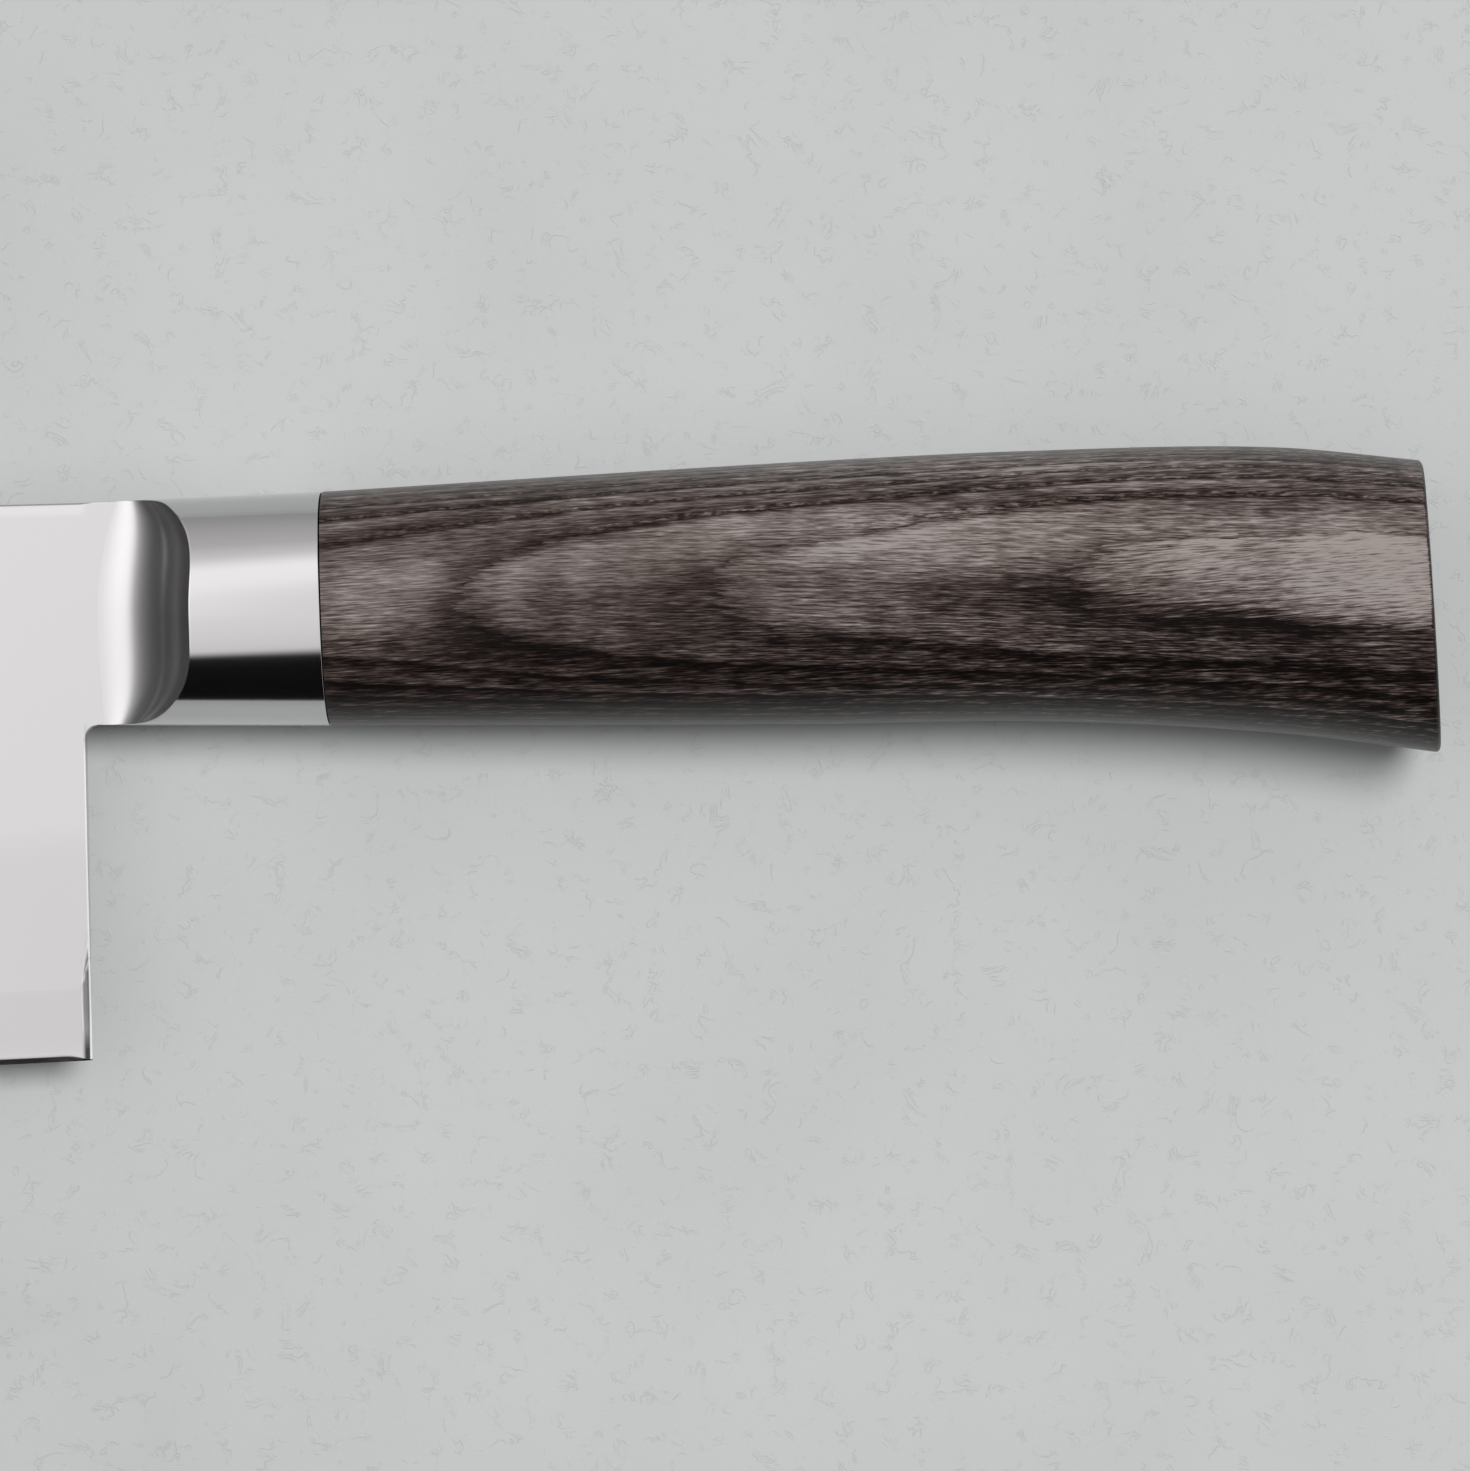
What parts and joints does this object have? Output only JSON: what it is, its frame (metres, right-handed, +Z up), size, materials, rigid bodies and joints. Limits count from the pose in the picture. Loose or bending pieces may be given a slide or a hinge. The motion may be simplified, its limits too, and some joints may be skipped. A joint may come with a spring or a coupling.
{
  "type": "gyuto knife",
  "caption": "Cook's knife with a tall layered steel blade, a polished bolster scooped down to the blade, and a flared hidden-tang handle of grey-brown laminated veneer.",
  "frame": {"origin": "centre of the knife's footprint, on the table it lies on", "axes": "+X from tip to butt, +Y from edge to spine, +Z up from the table, out of the left face; the knife lies on its bolster and its tip, so its middle plane is pitched tip down by 2.26 degrees"},
  "size_m": [0.3302, 0.053, 0.0241],
  "materials": {
    "core_steel": "fine satin, ground to the edge",
    "cladding_steel": "satin polished stainless",
    "bolster_steel": "mirror polished stainless",
    "veneer_dark": "dyed, resin filled, satin polished",
    "veneer_grey": "dyed, resin filled, satin polished",
    "epoxy": "cured amber resin"
  },
  "bodies": {
    "root": {"blade_core": "core_steel", "blade_cladding_left": "cladding_steel", "blade_cladding_right": "cladding_steel", "bolster_left": "bolster_steel", "bolster_right": "bolster_steel", "tang_epoxy": "epoxy", "handle_veneer_01": "veneer_grey", "handle_veneer_02": "veneer_dark", "handle_veneer_03": "veneer_grey", "handle_veneer_04": "veneer_dark", "handle_veneer_05": "veneer_grey", "handle_veneer_06": "veneer_dark", "handle_veneer_07": "veneer_grey", "handle_veneer_08": "veneer_dark", "handle_veneer_09": "veneer_grey", "handle_veneer_10": "veneer_dark", "handle_veneer_11": "veneer_grey", "handle_veneer_12": "veneer_dark", "handle_veneer_13": "veneer_grey", "handle_veneer_14": "veneer_dark", "handle_veneer_15": "veneer_grey", "handle_veneer_16": "veneer_dark", "handle_veneer_17": "veneer_grey", "handle_veneer_18": "veneer_dark", "handle_veneer_19": "veneer_grey", "handle_veneer_20": "veneer_dark", "handle_veneer_21": "veneer_grey", "handle_veneer_22": "veneer_dark", "handle_veneer_23": "veneer_grey"}
  },
  "joints": []
}
